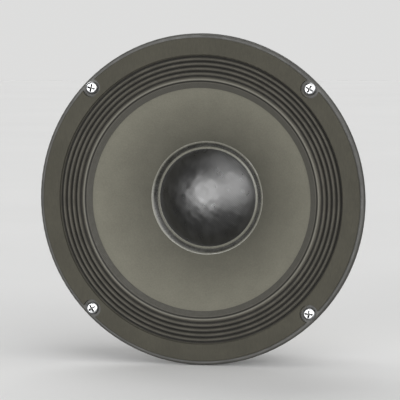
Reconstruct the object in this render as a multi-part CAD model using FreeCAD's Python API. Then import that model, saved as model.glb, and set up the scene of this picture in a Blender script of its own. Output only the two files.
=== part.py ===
import FreeCAD, Part
import math
import os

# An 8 inch class cone loudspeaker (mid-bass driver) for a car door, in millimetres.
# Y is the driver's axis and the cone faces -Y. +Z is up. The origin is the centre of the plane where
# the rear of the flange meets the baffle, so depth behind the baffle is Y.
# Turned pieces are drawn as outlines of (radius, depth) points and revolved about Y.

V = FreeCAD.Vector
CENTRE = V(0, 0, 0)
FRONT = V(0, -1, 0)
BACK = V(0, 1, 0)
UP = V(0, 0, 1)
RUNNING_GAP = 0.3        # between pieces that slide past each other
FIT_GAP = 0.05           # between a shank and its hole

# Flange, bolt circle and basket
FLANGE_R = 104.5
FLANGE_T = 4.0
THROAT_R = 91.6          # inner edge of the flange
WALL_R = 91.0            # outside of the basket behind the flange, inside a 183 mm cut-out
BOLT_R = 99.0
BOLT_ANGLES = (45, 135, 225, 315)
BOLT_HOLE_R = 2.75
CUP_R = 66.0             # outside of the cup that carries the spider
CUP_BORE_R = 54.0
SHELF_Y = 33.4           # face that the spider is glued on
SHELF_R = 62.5
FLOOR_Y = 43.0           # inside face of the basket's floor
FLOOR_BORE_R = 30.0
BOSS_R = 58.0

# Arms: four pairs, one pair in line with each mounting screw
WINDOW_R = (68.5, 86.5)
WINDOW_HALF_ANGLE = 27.0
SLOT_R = (71.5, 84.0)
SLOT_HALF_ANGLE = 4.5
RIB_ANGLE = 11.25        # from the middle of an arm pair to each rib
RIB_T = 2.4

# Gasket and mounting screws
GASKET_R = (91.0, 101.8)
GASKET_T = 2.5           # from the flange to the gasket's face
GASKET_CHAMFER = 0.6
NOTCH_R = 5.8
SCREW_HEAD_R = 4.0
SCREW_HEAD_T = 2.9
SCREW_NECK_R = 1.9       # inside the flange, where there is no thread
SCREW_SHANK_R = 2.2
SCREW_LENGTH = 26.0
SCREW_POINT = 5.0

# Cone: an arc in section, flat near the edge and steep near the neck
CONE_R = 74.0
CONE_EDGE_Y = -3.3
CONE_T = 0.8
CONE_EDGE_SLOPE = math.radians(15)
CONE_NECK_SLOPE = math.radians(46)
NECK_GAP = 0.05

# Surround: cloth with rolls of one pitch
CLOTH_T = 0.5
SURROUND_LAP_R = 70.3    # inner edge, lapped on the cone
SURROUND_LAP_T = 0.4
SURROUND_LAND_R = (75.1, 76.2)
ROLL_PITCH = 3.06
FIRST_TROUGH_R = 77.7
ROLL_HEIGHT = 2.4
ROLL_RIDGES = 4
SURROUND_R = 94.6

# Dust cap and its glue
CAP_R = 32.5
CAP_HEIGHT = 13.0
CAP_T = 0.7
GLUE_R = 36.4
GLUE_HEIGHT = 0.9

# Motor
COIL_BORE_R = 25.4
FORMER_T = 0.3
FORMER_Y = (22.5, 62.0)
WINDING_T = 0.8
WINDING_Y = (44.0, 58.0)
POLE_R = 25.0
POLE_FRONT_Y = 46.5
SPIGOT_R = 20.0
VENT_R = 9.0
SCREEN_R = 11.0
SCREEN_T = 0.6
SCREEN_HOLE_R = 0.85
SCREEN_PITCH = 2.7
PLATE_R = 64.0
TOP_PLATE_Y = 47.0
TOP_PLATE_T = 8.0
TOP_PLATE_BORE_R = 26.9
MAGNET_R = 67.0
MAGNET_BORE_R = 30.0
MAGNET_T = 20.0
BACK_PLATE_T = 8.0
MOTOR_SCREW_CIRCLE_R = 45.0
MOTOR_SCREW_R = 2.5
MOTOR_SCREW_HEAD_R = 4.25
MOTOR_SCREW_HEAD_T = 3.0

# Spider
SPIDER_T = 0.5
SPIDER_R = 61.5
SPIDER_FIRST_R = 31.5
SPIDER_STEP = 3.0
SPIDER_TURNS = 7
SPIDER_HEIGHT = 3.2

# Terminals, on a ledge above the cup
LEDGE_Y = (38.0, 41.5)
LEDGE_HALF_WIDTH = 19.5
LEDGE_TOP_Z = 88.5
GUSSET_T = 2.4
BOARD_T = 2.0
BOARD_Z = (69.0, 87.0)
BOARD_SCREW_Z = (72.5, 83.5)
BOARD_SCREW_R = 1.5
TERMINAL_X = 10.5        # middle of each terminal, from the driver's middle
TERMINAL_Z = 77.5
HOUSING_WIDTH = 12.0     # along X
HOUSING_HEIGHT = 13.0    # along Z
HOUSING_DEPTH = 15.0
CAVITY_WIDTH = 8.4
CAVITY_HEIGHT = 8.6
HOUSING_FLOOR_T = 1.0
LIP_T = 1.5
BUTTON_TRAVEL = 3.0
PLUNGER_DEPTH = 6.8      # the wide part, behind the lip
BUTTON_DEPTH = 7.6       # the narrow part, through the lip
WIRE_HOLE_R = 1.5
WIRE_HOLE_Y = 52.0       # in the housing and the contact
CONTACT_T = 0.6
CONTACT_WIDTH = 5.0
LUG_Y = 31.5             # front end of the solder lug
LUG_HOLE_R = 0.9
SPRING_R = 2.3
SPRING_WIRE_R = 0.25
SPRING_TURNS = 4

# Leads
LEAD_R = 0.65
EYELET_CIRCLE_R = 29.9
EYELET_ANGLE = 16.0      # from straight up
EYELET_FLANGE_R = 1.9
EYELET_FLANGE_T = 0.35
EYELET_SHANK_R = 0.9
LEAD_ROUTE = [           # for the terminal at +X, from the lug towards the cone
    (10.5, 31.5, 73.5),
    (10.5, 23.5, 73.5),
    (10.4, 16.3, 68.4),
    (10.3, 14.6, 59.8),
    (10.2, 19.0, 51.6),
    (10.1, 25.2, 44.6),
]

# Worked out from the dimensions above
FACE_Y = -FLANGE_T
GASKET_Y = FACE_Y - GASKET_T
MAGNET_Y = TOP_PLATE_Y + TOP_PLATE_T
BACK_PLATE_Y = MAGNET_Y + MAGNET_T
REAR_Y = BACK_PLATE_Y + BACK_PLATE_T
FORMER_R = COIL_BORE_R + FORMER_T
CONE_NECK_R = FORMER_R + NECK_GAP
CONE_ARC_R = (CONE_R - CONE_NECK_R) / (math.sin(CONE_NECK_SLOPE) - math.sin(CONE_EDGE_SLOPE))
CONE_ARC_CENTRE = (
    CONE_R + CONE_ARC_R * math.sin(CONE_EDGE_SLOPE),
    CONE_EDGE_Y + CONE_ARC_R * math.cos(CONE_EDGE_SLOPE),
)
BOARD_Y = LEDGE_Y[1]
HOUSING_Y = BOARD_Y + BOARD_T
LIP_Y = HOUSING_Y + HOUSING_DEPTH - LIP_T
CONTACT_Z = TERMINAL_Z - CAVITY_HEIGHT / 2


# Drawing helpers

def face_of(edges):
    """A flat face inside a closed run of edges."""
    return Part.Face(Part.Wire(edges))


def outline(corners):
    """A face with the given (radius, depth) or (radius, depth, fillet) corners."""
    tangents = []
    edges = []
    for i, corner in enumerate(corners):
        here = V(corner[0], corner[1], 0)
        fillet = corner[2] if len(corner) == 3 else 0
        if fillet == 0:
            tangents.append((here, here))
            continue
        before = V(corners[i - 1][0], corners[i - 1][1], 0) - here
        after_corner = corners[(i + 1) % len(corners)]
        after = V(after_corner[0], after_corner[1], 0) - here
        before.normalize()
        after.normalize()
        half = before.getAngle(after) / 2
        reach = fillet / math.tan(half)
        inward = before + after
        inward.normalize()
        first = here + before * reach
        last = here + after * reach
        middle = here + inward * (fillet / math.sin(half) - fillet)
        edges.append(Part.Arc(first, middle, last).toShape())
        tangents.append((first, last))
    for i, (first, _) in enumerate(tangents):
        end_of_last = tangents[i - 1][1]
        if end_of_last.distanceToPoint(first) > 1e-6:
            edges.append(Part.makeLine(end_of_last, first))
    return face_of(Part.__sortEdges__(edges))


def turned(face):
    """A solid of revolution about the driver's axis."""
    return face.revolve(CENTRE, FRONT, 360)


def ring(inner_r, outer_r, front_y, rear_y, fillet=0.0):
    """A ring with its two outer edges rounded."""
    return turned(outline([
        (inner_r, front_y),
        (outer_r, front_y, fillet),
        (outer_r, rear_y, fillet),
        (inner_r, rear_y),
    ]))


def rod(radius, front_y, rear_y, x=0.0, z=0.0):
    """A cylinder parallel to the driver's axis."""
    return Part.makeCylinder(radius, rear_y - front_y, V(x, front_y, z), BACK)


def block(x, y, z):
    """A box from three (low, high) pairs."""
    return Part.makeBox(x[1] - x[0], y[1] - y[0], z[1] - z[0], V(x[0], y[0], z[0]))


def edges_along(shape, direction):
    """The straight edges of a shape that run along a direction."""
    found = []
    for edge in shape.Edges:
        if isinstance(edge.Curve, Part.Line) and abs(edge.Curve.Direction.dot(direction)) > 0.999:
            found.append(edge)
    return found


def front_edge(rod_shape):
    """The circle round the front end of a cylinder."""
    return min(rod_shape.Edges, key=lambda edge: edge.BoundBox.YMax)


def rear_edge(rod_shape):
    """The circle round the rear end of a cylinder."""
    return max(rod_shape.Edges, key=lambda edge: edge.BoundBox.YMin)


def spun(shape, degrees):
    """A copy turned counter-clockwise about the axis, as a listener in front sees it."""
    copy = shape.copy()
    copy.rotate(CENTRE, FRONT, degrees)
    return copy


def mirrored(shape):
    """A copy on the other side of the driver's middle plane."""
    return shape.mirror(CENTRE, V(1, 0, 0))


def sector(radii, depths, half_angle, corner_r):
    """A cutter centred on +X: part of a thick ring, with rounded corners as seen along the axis."""
    strip = outline([
        (radii[0], depths[0]),
        (radii[1], depths[0]),
        (radii[1], depths[1]),
        (radii[0], depths[1]),
    ])
    strip.rotate(CENTRE, FRONT, -half_angle)
    solid = strip.revolve(CENTRE, FRONT, 2 * half_angle)
    return solid.makeFillet(corner_r, edges_along(solid, BACK))


def at_bolt_angles(shape):
    """Four copies of a shape drawn on +X, one at each mounting screw."""
    return [spun(shape, angle) for angle in BOLT_ANGLES]


def save(name, shape):
    """Write one sub-part to its own STEP file."""
    if not shape.isValid():
        raise ValueError(name + " is not a valid shape")
    shape.exportStep("parts/" + name + ".step")


# Basket

def terminal_ledge():
    """The shelf above the cup that carries the terminal board, with its lug slots and screw holes."""
    ledge = block((-LEDGE_HALF_WIDTH, LEDGE_HALF_WIDTH), LEDGE_Y, (50.0, LEDGE_TOP_Z))
    outer_corners = [e for e in edges_along(ledge, BACK) if e.Vertexes[0].Z > 60]
    ledge = ledge.makeFillet(4.0, outer_corners)
    for x in (-LEDGE_HALF_WIDTH, LEDGE_HALF_WIDTH - GUSSET_T):
        ledge = ledge.fuse(gusset(x))
    ledge = ledge.cut(rod(CUP_BORE_R + 1, 30.0, 50.0))
    return ledge.cut(lug_slots(LEDGE_Y, 1.8, 6.5)).cut(board_screw_holes(LEDGE_Y))


def gusset(x):
    """A triangular web in front of the ledge, from the cup to near the ledge's top."""
    ledge_y = LEDGE_Y[0] + 1
    web = face_of([
        Part.makeLine(V(x, 33.0, 60.0), V(x, ledge_y, 60.0)),
        Part.makeLine(V(x, ledge_y, 60.0), V(x, ledge_y, 82.0)),
        Part.makeLine(V(x, ledge_y, 82.0), V(x, 33.0, 64.0)),
        Part.makeLine(V(x, 33.0, 64.0), V(x, 33.0, 60.0)),
    ])
    return web.extrude(V(GUSSET_T, 0, 0))


def lug_slots(depths, height, width):
    """Cutters for the two solder lugs, through the given depths."""
    middle_z = CONTACT_Z + CONTACT_T / 2
    slot = block(
        (TERMINAL_X - width / 2, TERMINAL_X + width / 2),
        depths,
        (middle_z - height / 2, middle_z + height / 2),
    )
    return slot.fuse(mirrored(slot))


def board_screw_holes(depths):
    holes = [rod(BOARD_SCREW_R + FIT_GAP, depths[0], depths[1], 0.0, z) for z in BOARD_SCREW_Z]
    return holes[0].fuse(holes[1])


def arm_rib():
    """A stiffening rib on the outside of one arm, drawn in the plane of +X."""
    corners = [
        (89.2, 3.9),
        (90.6, 3.0),
        (90.6, 8.5, 2.0),
        (70.6, 35.5, 2.0),
        (64.6, 35.5),
        (64.6, 30.5),
    ]
    plate = outline(corners).extrude(V(0, 0, RIB_T))
    plate.translate(V(0, 0, -RIB_T / 2))
    return plate


def basket():
    shell = turned(outline([
        (FLANGE_R, 0.0, 0.5),
        (FLANGE_R, FACE_Y, 1.5),
        (THROAT_R, FACE_Y, 0.5),
        (THROAT_R, -1.0, 0.5),
        (88.2, 3.8, 2.0),
        (SHELF_R, 29.5, 1.5),
        (SHELF_R, SHELF_Y),
        (CUP_BORE_R, SHELF_Y, 0.6),
        (CUP_BORE_R, FLOOR_Y, 1.2),
        (FLOOR_BORE_R, FLOOR_Y, 0.6),
        (FLOOR_BORE_R, TOP_PLATE_Y),
        (BOSS_R, TOP_PLATE_Y, 0.6),
        (BOSS_R, 39.5, 2.0),
        (CUP_R, 37.0, 1.5),
        (CUP_R, 32.0, 2.0),
        (WALL_R, 3.5, 2.0),
        (WALL_R, 0.0),
    ]))
    window = sector(WINDOW_R, (-10.0, 60.0), WINDOW_HALF_ANGLE, 5.0)
    for angle in (0, 90, 180, 270):
        shell = shell.cut(spun(window, angle))
    slot = sector(SLOT_R, (-10.0, 60.0), SLOT_HALF_ANGLE, 3.5)
    for cutter in at_bolt_angles(slot):
        shell = shell.cut(cutter)
    for angle in BOLT_ANGLES:
        for side in (-RIB_ANGLE, RIB_ANGLE):
            shell = shell.fuse(spun(arm_rib(), angle + side))
    shell = shell.fuse(terminal_ledge())
    for hole in at_bolt_angles(rod(BOLT_HOLE_R, -10.0, 5.0, BOLT_R)):
        shell = shell.cut(hole)
    for hole in motor_screw_places(rod(MOTOR_SCREW_R + FIT_GAP, 40.0, 50.0, MOTOR_SCREW_CIRCLE_R)):
        shell = shell.cut(hole)
    return shell.removeSplitter()


def front_gasket():
    cloth_y = FACE_Y - CLOTH_T
    gasket = turned(outline([
        (GASKET_R[0], cloth_y),
        (GASKET_R[0], GASKET_Y, 0.5),
        (GASKET_R[1] - GASKET_CHAMFER, GASKET_Y),
        (GASKET_R[1], GASKET_Y + GASKET_CHAMFER),
        (GASKET_R[1], FACE_Y),
        (SURROUND_R + 0.2, FACE_Y),
        (SURROUND_R + 0.2, cloth_y),
    ]))
    for notch in at_bolt_angles(rod(NOTCH_R, -20.0, 0.0, BOLT_R)):
        gasket = gasket.cut(notch)
    return gasket


def cross_recess(width, length, depths):
    """A cross-shaped cutter for a screw head on the axis."""
    bar = block((-length / 2, length / 2), depths, (-width / 2, width / 2))
    return bar.fuse(spun(bar, 90))


def mounting_screw():
    head_y = FACE_Y - SCREW_HEAD_T
    tip_y = FACE_Y + SCREW_LENGTH
    turned_screw = turned(outline([
        (0.0, head_y),
        (SCREW_HEAD_R, head_y, 1.8),
        (SCREW_HEAD_R, FACE_Y),
        (SCREW_NECK_R, FACE_Y),
        (SCREW_NECK_R, 0.0),
        (SCREW_SHANK_R, 0.0),
        (SCREW_SHANK_R, tip_y - SCREW_POINT),
        (0.3, tip_y),
        (0.0, tip_y),
    ]))
    screw = turned_screw.cut(cross_recess(0.9, 4.4, (head_y - 1, head_y + 1.8)))
    screw.translate(V(BOLT_R, 0, 0))
    return screw


# Cone and the pieces glued on it

def cone_point(radius, offset=0.0):
    """The point of the cone's front surface at a radius, moved out of the surface towards the front."""
    sine = (CONE_ARC_CENTRE[0] - radius) / CONE_ARC_R
    cosine = math.sqrt(1 - sine * sine)
    reach = CONE_ARC_R + offset
    return V(CONE_ARC_CENTRE[0] - reach * sine, CONE_ARC_CENTRE[1] - reach * cosine, 0)


def cone_arc(inner_r, outer_r, offset=0.0):
    """The arc of the cone's section between two radii, at an offset from its front surface."""
    ends = [cone_point(r, offset) for r in (inner_r, (inner_r + outer_r) / 2, outer_r)]
    return Part.Arc(*ends).toShape()


def cone_band(inner_r, outer_r, rear, front):
    """A turned band that follows the cone, between two offsets from its front surface."""
    return turned(face_of([
        cone_arc(inner_r, outer_r, rear),
        Part.makeLine(cone_point(outer_r, rear), cone_point(outer_r, front)),
        cone_arc(inner_r, outer_r, front),
        Part.makeLine(cone_point(inner_r, front), cone_point(inner_r, rear)),
    ]))


def cone_normal(radius):
    """The direction out of the cone's back at a radius, in the plane of +X."""
    return (cone_point(radius, -1.0) - cone_point(radius)).normalize()


def at_eyelets(shape):
    """Two copies of a shape drawn in the plane of +X, one at each eyelet."""
    return [spun(shape, 90 - EYELET_ANGLE), spun(shape, 90 + EYELET_ANGLE)]


def eyelet_rod(radius, rear, front):
    """A short cylinder square to the cone at the eyelet's radius, between two offsets."""
    base = cone_point(EYELET_CIRCLE_R, rear)
    return Part.makeCylinder(radius, front - rear, base, cone_normal(EYELET_CIRCLE_R) * -1)


def cone_without_holes():
    paper = cone_band(CONE_NECK_R, CONE_R, -CONE_T, 0.0)
    return paper.common(ring(CONE_NECK_R, CONE_R, -20.0, 60.0))


def cone():
    paper = cone_without_holes()
    for hole in at_eyelets(eyelet_rod(EYELET_SHANK_R + FIT_GAP, -3.0, 3.0)):
        paper = paper.cut(hole)
    return paper


def surround():
    """Cloth: lapped on the cone, a flat land, the rolls, and a flat edge under the gasket."""
    flat_y = FACE_Y - CLOTH_T
    middle_y = flat_y + 0.3
    front = [(SURROUND_LAND_R[0], flat_y, 0.4), (SURROUND_LAND_R[1], flat_y, 0.4)]
    for i in range(2 * ROLL_RIDGES + 1):
        side = 1 if i % 2 == 0 else -1
        depth = middle_y + side * ROLL_HEIGHT / 2
        front.append((FIRST_TROUGH_R + i * ROLL_PITCH / 2, depth, 0.35))
    front.append((THROAT_R - 0.1, flat_y, 0.3))
    rear = [(r, y + CLOTH_T, fillet) for r, y, fillet in front]
    lap_top = cone_point(CONE_R, SURROUND_LAP_T)
    lap_bottom = cone_point(CONE_R)
    corners = [(lap_top.x, lap_top.y)] + front
    corners += [(SURROUND_R, flat_y), (SURROUND_R, flat_y + CLOTH_T)]
    corners += rear[::-1] + [(lap_bottom.x, lap_bottom.y)]
    cloth = turned(outline(corners))
    return cloth.fuse(cone_band(SURROUND_LAP_R, CONE_R, 0.0, SURROUND_LAP_T)).removeSplitter()


def behind_cone():
    """Everything behind the cone's front surface, inside the dust cap's glue."""
    outer_r = GLUE_R + 2
    low = cone_point(CONE_NECK_R)
    high = cone_point(outer_r)
    return turned(face_of([
        cone_arc(CONE_NECK_R, outer_r),
        Part.makeLine(high, V(high.x, 60, 0)),
        Part.makeLine(V(high.x, 60, 0), V(0, 60, 0)),
        Part.makeLine(V(0, 60, 0), V(0, low.y, 0)),
        Part.makeLine(V(0, low.y, 0), low),
    ]))


def cap_dome(thickness_taken):
    """The solid under the dome, with some thickness taken off its outside."""
    rim_y = cone_point(CAP_R).y
    sphere_r = (CAP_R ** 2 + CAP_HEIGHT ** 2) / (2 * CAP_HEIGHT)
    centre_y = rim_y - CAP_HEIGHT + sphere_r
    ball = Part.makeSphere(sphere_r - thickness_taken, V(0, centre_y, 0))
    return ball.common(rod(CAP_R - thickness_taken, -20.0, rim_y + 3.0))


def dust_cap():
    return cap_dome(0.0).cut(cap_dome(CAP_T)).cut(behind_cone())


def dust_cap_glue():
    bead = cone_band(CAP_R - 1.5, GLUE_R, -0.5, GLUE_HEIGHT)
    outer_edges = [e for e in bead.Edges if e.BoundBox.XMax > GLUE_R - 0.6 and e.Length > 1]
    top_edge = min(outer_edges, key=lambda edge: edge.BoundBox.YMin)
    bead = bead.makeFillet(0.7, [top_edge])
    return bead.cut(cap_dome(0.0)).cut(behind_cone())


def cone_neck_glue():
    """A fillet of glue behind the cone, where the neck meets the former."""
    reach = 2.2
    inner = cone_point(CONE_NECK_R, -CONE_T / 2)
    outer = cone_point(CONE_NECK_R + reach, -CONE_T / 2)
    wedge = turned(outline([
        (FORMER_R, inner.y),
        (outer.x, outer.y),
        (FORMER_R + 0.9, outer.y + 3.6, 2.0),
        (FORMER_R, inner.y + 3.2),
    ]))
    return wedge.cut(cone_without_holes())


def lead_eyelets():
    """Rivets through the cone under the dust cap. The leads end on their rear flanges."""
    flange_rear = -CONE_T - EYELET_FLANGE_T
    shank = eyelet_rod(EYELET_SHANK_R, -CONE_T, 0.0)
    front = eyelet_rod(EYELET_FLANGE_R, 0.15, 0.15 + EYELET_FLANGE_T)
    neck = eyelet_rod(EYELET_SHANK_R, 0.0, 0.15)
    rear = eyelet_rod(EYELET_FLANGE_R, flange_rear - 0.15, -CONE_T - 0.15)
    rear_neck = eyelet_rod(EYELET_SHANK_R, -CONE_T - 0.15, -CONE_T)
    eyelet = shank.fuse([front, neck, rear, rear_neck]).removeSplitter()
    return Part.makeCompound(at_eyelets(eyelet))


# Motor

def spider():
    """Corrugated cloth from the former to the basket's shelf."""
    flat_y = SHELF_Y - SPIDER_T
    middle_y = flat_y + 0.2
    front = [(SPIDER_FIRST_R - 3.0, middle_y, 1.0)]
    for i in range(SPIDER_TURNS + 1):
        side = 1 if i % 2 == 0 else -1
        front.append((SPIDER_FIRST_R + i * SPIDER_STEP, middle_y + side * SPIDER_HEIGHT / 2, 1.0))
    front.append((CUP_BORE_R + 0.6, flat_y, 0.8))
    rear = [(r, y + SPIDER_T, fillet) for r, y, fillet in front]
    collar_y = middle_y - 1.5
    corners = [(FORMER_R, collar_y), (FORMER_R + SPIDER_T, collar_y), (FORMER_R + SPIDER_T, middle_y)]
    corners += front
    corners += [(SPIDER_R, flat_y), (SPIDER_R, flat_y + SPIDER_T)]
    corners += rear[::-1] + [(FORMER_R, middle_y + SPIDER_T)]
    return turned(outline(corners))


def motor_screw_places(shape):
    """Four copies of a shape drawn on +X, each in line with a window."""
    return [spun(shape, angle) for angle in (0, 90, 180, 270)]


def motor_screw():
    head = rod(MOTOR_SCREW_HEAD_R, FLOOR_Y - MOTOR_SCREW_HEAD_T, FLOOR_Y)
    head = head.makeFillet(0.6, [front_edge(head)])
    shank = rod(MOTOR_SCREW_R, FLOOR_Y, TOP_PLATE_Y + 6.0)
    socket = Part.Face(Part.makePolygon([
        V(2.3 * math.cos(math.radians(a)), FLOOR_Y - MOTOR_SCREW_HEAD_T, 2.3 * math.sin(math.radians(a)))
        for a in range(0, 361, 60)
    ]))
    screw = head.fuse(shank).cut(socket.extrude(V(0, 1.8, 0)))
    screw.translate(V(MOTOR_SCREW_CIRCLE_R, 0, 0))
    return screw.removeSplitter()


def top_plate():
    plate = ring(TOP_PLATE_BORE_R, PLATE_R, TOP_PLATE_Y, MAGNET_Y, 0.8)
    bore = rod(MOTOR_SCREW_R + FIT_GAP, 45.0, TOP_PLATE_Y + 6.5, MOTOR_SCREW_CIRCLE_R)
    for hole in motor_screw_places(bore):
        plate = plate.cut(hole)
    return plate


def back_plate():
    return turned(outline([
        (SPIGOT_R + FIT_GAP, BACK_PLATE_Y),
        (PLATE_R, BACK_PLATE_Y, 0.8),
        (PLATE_R, REAR_Y, 2.5),
        (SPIGOT_R + FIT_GAP, REAR_Y),
    ]))


def pole_piece():
    return turned(outline([
        (VENT_R, POLE_FRONT_Y, 2.0),
        (POLE_R, POLE_FRONT_Y, 0.8),
        (POLE_R, BACK_PLATE_Y),
        (SPIGOT_R, BACK_PLATE_Y),
        (SPIGOT_R, REAR_Y, 0.4),
        (SCREEN_R + FIT_GAP, REAR_Y, 0.8),
        (SCREEN_R + FIT_GAP, REAR_Y - 2.0),
        (VENT_R, REAR_Y - 2.0),
    ]))


def vent_screen():
    """A perforated disc in the mouth of the rear vent. Its holes are in rings of six more each."""
    front_y = REAR_Y - 2.0
    rear_y = front_y + SCREEN_T
    screen = rod(SCREEN_R, front_y, rear_y)
    holes = [rod(SCREEN_HOLE_R, front_y - 1, rear_y + 1)]
    for row in (1, 2, 3):
        for i in range(6 * row):
            turn = math.radians(360 * i / (6 * row))
            x = row * SCREEN_PITCH * math.cos(turn)
            z = row * SCREEN_PITCH * math.sin(turn)
            holes.append(rod(SCREEN_HOLE_R, front_y - 1, rear_y + 1, x, z))
    return screen.cut(holes)


# Terminals. Each is drawn at +X and mirrored for the other side.

def centred_block(width, depths, height):
    """A box centred on the terminal, with the given width along X and height along Z."""
    return block(
        (TERMINAL_X - width / 2, TERMINAL_X + width / 2),
        depths,
        (TERMINAL_Z - height / 2, TERMINAL_Z + height / 2),
    )


def wire_hole(y, bottom_z, top_z):
    """A cutter along Z for the loudspeaker wire."""
    return Part.makeCylinder(WIRE_HOLE_R, top_z - bottom_z, V(TERMINAL_X, y, bottom_z), UP)


def terminal_board():
    board = block((-LEDGE_HALF_WIDTH + 1, LEDGE_HALF_WIDTH - 1), (BOARD_Y, HOUSING_Y), BOARD_Z)
    board = board.makeFillet(2.5, edges_along(board, BACK))
    board = board.cut(lug_slots((BOARD_Y, HOUSING_Y), CONTACT_T + 0.2, CONTACT_WIDTH + 0.2))
    return board.cut(board_screw_holes((BOARD_Y, HOUSING_Y)))


def board_screws():
    screws = []
    for z in BOARD_SCREW_Z:
        head = rod(2.6, HOUSING_Y, HOUSING_Y + 1.8, 0.0, z)
        head = head.makeFillet(0.9, [rear_edge(head)])
        recess = cross_recess(0.6, 2.8, (HOUSING_Y + 0.7, HOUSING_Y + 3.0))
        recess.translate(V(0, 0, z))
        shank = rod(BOARD_SCREW_R, LEDGE_Y[0] - 2.0, HOUSING_Y, 0.0, z)
        screws.append(head.fuse(shank).cut(recess).removeSplitter())
    return Part.makeCompound(screws)


def terminal_housing():
    outer_y = HOUSING_Y + HOUSING_DEPTH
    shell = centred_block(HOUSING_WIDTH, (HOUSING_Y, outer_y), HOUSING_HEIGHT)
    shell = shell.makeFillet(1.2, edges_along(shell, BACK))
    shell = shell.cut(centred_block(CAVITY_WIDTH, (HOUSING_Y + HOUSING_FLOOR_T, LIP_Y), CAVITY_HEIGHT))
    shell = shell.cut(centred_block(CAVITY_WIDTH - 1.0, (LIP_Y - 1, outer_y + 1), CAVITY_HEIGHT - 1.6))
    shell = shell.cut(wire_hole(WIRE_HOLE_Y, TERMINAL_Z - 10, TERMINAL_Z + 10))
    lug = lug_slots((HOUSING_Y - 1, HOUSING_Y + 2), CONTACT_T + 0.1, CONTACT_WIDTH + 0.1)
    return shell.cut(lug)


def terminal_button():
    """A plunger with a narrower button that passes through the housing's lip, and a cross hole."""
    shoulder_y = LIP_Y - 0.1
    plunger_width = CAVITY_WIDTH - 2 * RUNNING_GAP
    plunger_height = CAVITY_HEIGHT - CONTACT_T - 2 * RUNNING_GAP
    plunger_z = TERMINAL_Z + CONTACT_T / 2
    plunger = block(
        (TERMINAL_X - plunger_width / 2, TERMINAL_X + plunger_width / 2),
        (shoulder_y - PLUNGER_DEPTH, shoulder_y),
        (plunger_z - plunger_height / 2, plunger_z + plunger_height / 2),
    )
    button_width = CAVITY_WIDTH - 1.0 - 2 * RUNNING_GAP
    button_height = CAVITY_HEIGHT - 1.6 - 2 * RUNNING_GAP
    button_y = shoulder_y + BUTTON_DEPTH
    button = centred_block(button_width, (shoulder_y - 1, button_y), button_height)
    button = button.makeFillet(0.8, edges_along(button, BACK))
    rim = [e for e in button.Edges if e.BoundBox.YMin > button_y - 0.01]
    button = button.makeFillet(0.7, rim)
    pocket = rod(SPRING_R + SPRING_WIRE_R + 0.25, shoulder_y - PLUNGER_DEPTH - 1,
                 shoulder_y - PLUNGER_DEPTH + 1.0, TERMINAL_X, plunger_z)
    whole = plunger.fuse(button).cut(pocket)
    return whole.cut(wire_hole(WIRE_HOLE_Y + BUTTON_TRAVEL, TERMINAL_Z - 10, TERMINAL_Z + 10))


def terminal_spring():
    """A coil spring between the housing's floor and the plunger's pocket."""
    floor_y = HOUSING_Y + HOUSING_FLOOR_T + SPRING_WIRE_R
    seat_y = LIP_Y - 0.1 - PLUNGER_DEPTH + 1.0 - SPRING_WIRE_R
    height = seat_y - floor_y
    helix = Part.makeHelix(height / SPRING_TURNS, height, SPRING_R)
    section = Part.Wire(Part.makeCircle(SPRING_WIRE_R, V(SPRING_R, 0, 0), V(0, 1, 0)))
    spring = Part.Wire(helix).makePipeShell([section], True, True)
    spring.rotate(CENTRE, V(1, 0, 0), -90)
    spring.translate(V(TERMINAL_X, floor_y, TERMINAL_Z + CONTACT_T / 2))
    return spring


def terminal_contact():
    """A brass strip along the cavity's inner wall, whose front end is the solder lug."""
    strip = block(
        (TERMINAL_X - CONTACT_WIDTH / 2, TERMINAL_X + CONTACT_WIDTH / 2),
        (LUG_Y, LIP_Y - 0.2),
        (CONTACT_Z, CONTACT_Z + CONTACT_T),
    )
    ends = edges_along(strip, UP)
    strip = strip.makeFillet(1.6, ends)
    lug_hole = Part.makeCylinder(LUG_HOLE_R, 10, V(TERMINAL_X, LUG_Y + 3.2, CONTACT_Z - 5), UP)
    strip = strip.cut(lug_hole)
    return strip.cut(wire_hole(WIRE_HOLE_Y, CONTACT_Z - 2, CONTACT_Z + 2))


# Leads

def lead_points():
    """The +X lead's route, ending square on the back of its eyelet."""
    normal = cone_normal(EYELET_CIRCLE_R)
    end = cone_point(EYELET_CIRCLE_R, -CONE_T - EYELET_FLANGE_T - 0.15)
    before = end + normal * 6.5
    turn = FreeCAD.Rotation(FRONT, 90 - EYELET_ANGLE)
    return [V(*point) for point in LEAD_ROUTE] + [turn.multVec(before), turn.multVec(end)]


def lead():
    """A tube along straight runs joined by tangent arcs."""
    points = lead_points()
    edges = []
    start = points[0]
    for i in range(1, len(points) - 1):
        back = points[i - 1] - points[i]
        ahead = points[i + 1] - points[i]
        shorter = min(back.Length, ahead.Length)
        back.normalize()
        ahead.normalize()
        half = back.getAngle(ahead) / 2
        reach = 0.45 * shorter
        radius = reach * math.tan(half)
        inward = (back + ahead).normalize()
        first = points[i] + back * reach
        last = points[i] + ahead * reach
        middle = points[i] + inward * (radius / math.sin(half) - radius)
        edges.append(Part.makeLine(start, first))
        edges.append(Part.Arc(first, middle, last).toShape())
        start = last
    edges.append(Part.makeLine(start, points[-1]))
    path = Part.Wire(edges)
    direction = (points[1] - points[0]).normalize()
    section = Part.Wire(Part.makeCircle(LEAD_R, points[0], direction))
    return path.makePipeShell([section], True, True)


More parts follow.
